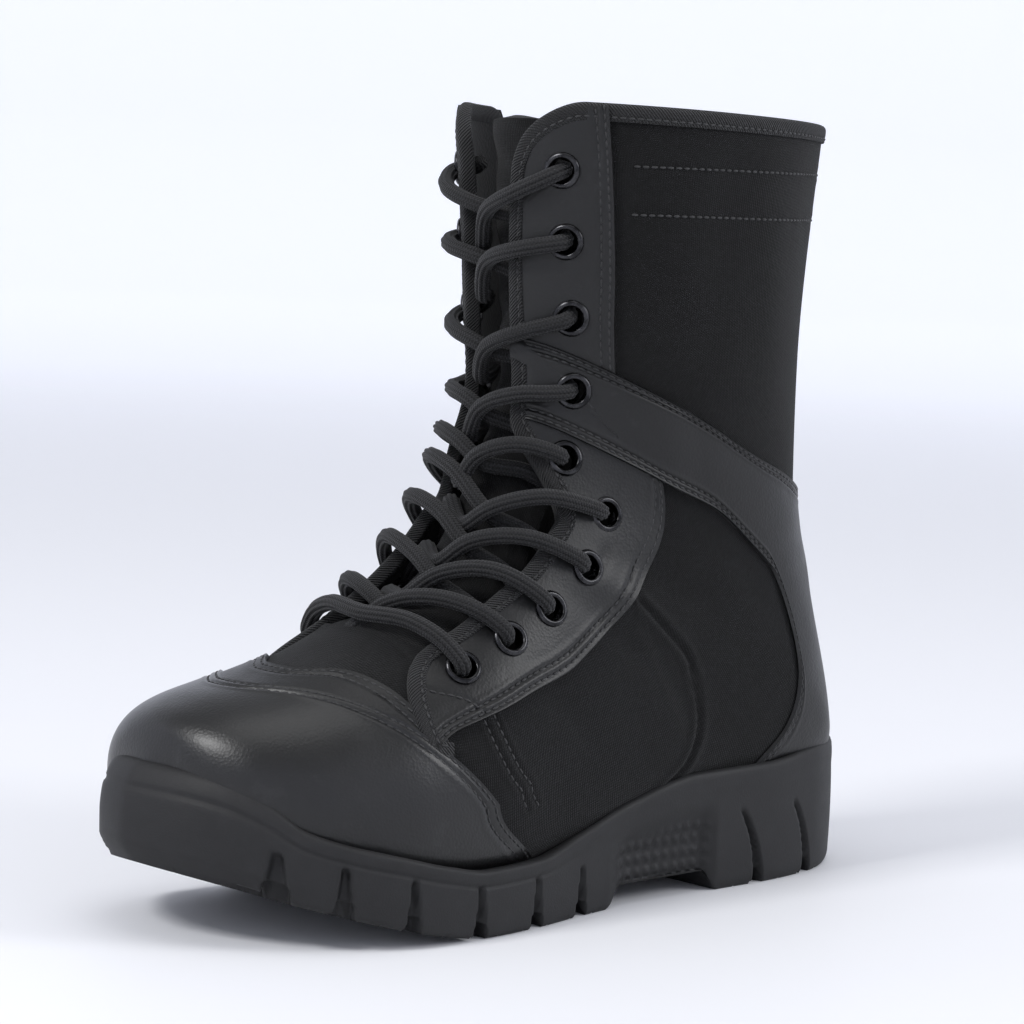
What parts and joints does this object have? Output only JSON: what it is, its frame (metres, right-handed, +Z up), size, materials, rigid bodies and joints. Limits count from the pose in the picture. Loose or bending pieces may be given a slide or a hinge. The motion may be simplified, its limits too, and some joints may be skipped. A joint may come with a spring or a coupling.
{
  "type": "tactical boot",
  "caption": "High laced left boot of black cloth with satin leather overlays, a side zip under a strap, and a cupped rubber sole with deep lugs.",
  "frame": {"origin": "on the floor under the middle of the heel, on the heel's tread", "axes": "+X to the toe, +Y to the outer side of the foot, +Z up"},
  "size_m": [0.302, 0.1162, 0.2696],
  "materials": {
    "sole_rubber": "matt moulded rubber, faintly grainy",
    "black_fabric": "dull close woven cloth",
    "insole_fabric": "dull knitted cloth on foam",
    "black_leather": "smooth satin leather with fine grain",
    "ribbed_binding": "ribbed woven tape",
    "lace_cord": "round braided cord with lengthwise ribs",
    "black_nickel": "dark polished nickel",
    "zip_tape": "woven tape with a nylon coil",
    "zip_metal": "dark nickel, worn a little bright"
  },
  "bodies": {
    "boot": {"binding": "ribbed_binding", "eyelet_inner_1": "black_nickel", "eyelet_inner_10": "black_nickel", "eyelet_inner_2": "black_nickel", "eyelet_inner_3": "black_nickel", "eyelet_inner_4": "black_nickel", "eyelet_inner_5": "black_nickel", "eyelet_inner_6": "black_nickel", "eyelet_inner_7": "black_nickel", "eyelet_inner_8": "black_nickel", "eyelet_inner_9": "black_nickel", "eyelet_outer_1": "black_nickel", "eyelet_outer_10": "black_nickel", "eyelet_outer_2": "black_nickel", "eyelet_outer_3": "black_nickel", "eyelet_outer_4": "black_nickel", "eyelet_outer_5": "black_nickel", "eyelet_outer_6": "black_nickel", "eyelet_outer_7": "black_nickel", "eyelet_outer_8": "black_nickel", "eyelet_outer_9": "black_nickel", "eyestay_lateral_lower": "black_leather", "eyestay_lateral_upper": "black_leather", "eyestay_medial": "black_leather", "heel_band": "black_leather", "insole": "insole_fabric", "lace_bar": "lace_cord", "lace_crossing_1": "lace_cord", "lace_crossing_2": "lace_cord", "lace_crossing_3": "lace_cord", "lace_crossing_4": "lace_cord", "lace_crossing_5": "lace_cord", "lace_crossing_6": "lace_cord", "lace_crossing_7": "lace_cord", "lace_crossing_8": "lace_cord", "lace_crossing_9": "lace_cord", "outsole": "sole_rubber", "strap": "black_leather", "toe_cap": "black_leather", "tongue": "black_fabric", "upper": "black_fabric", "vamp_crescent": "black_leather", "zip": "zip_tape", "zip_slider": "zip_metal"},
    "pull": {"zip_pull": "zip_metal"}
  },
  "joints": [
    {"name": "pull_hinge", "type": "hinge", "parent": "boot", "child": "pull", "pos_m": [0.06313, -0.0546, 0.24727], "axis": [-0.9928, -0.1157, -0.0314], "range_deg": [0, 5]}
  ]
}
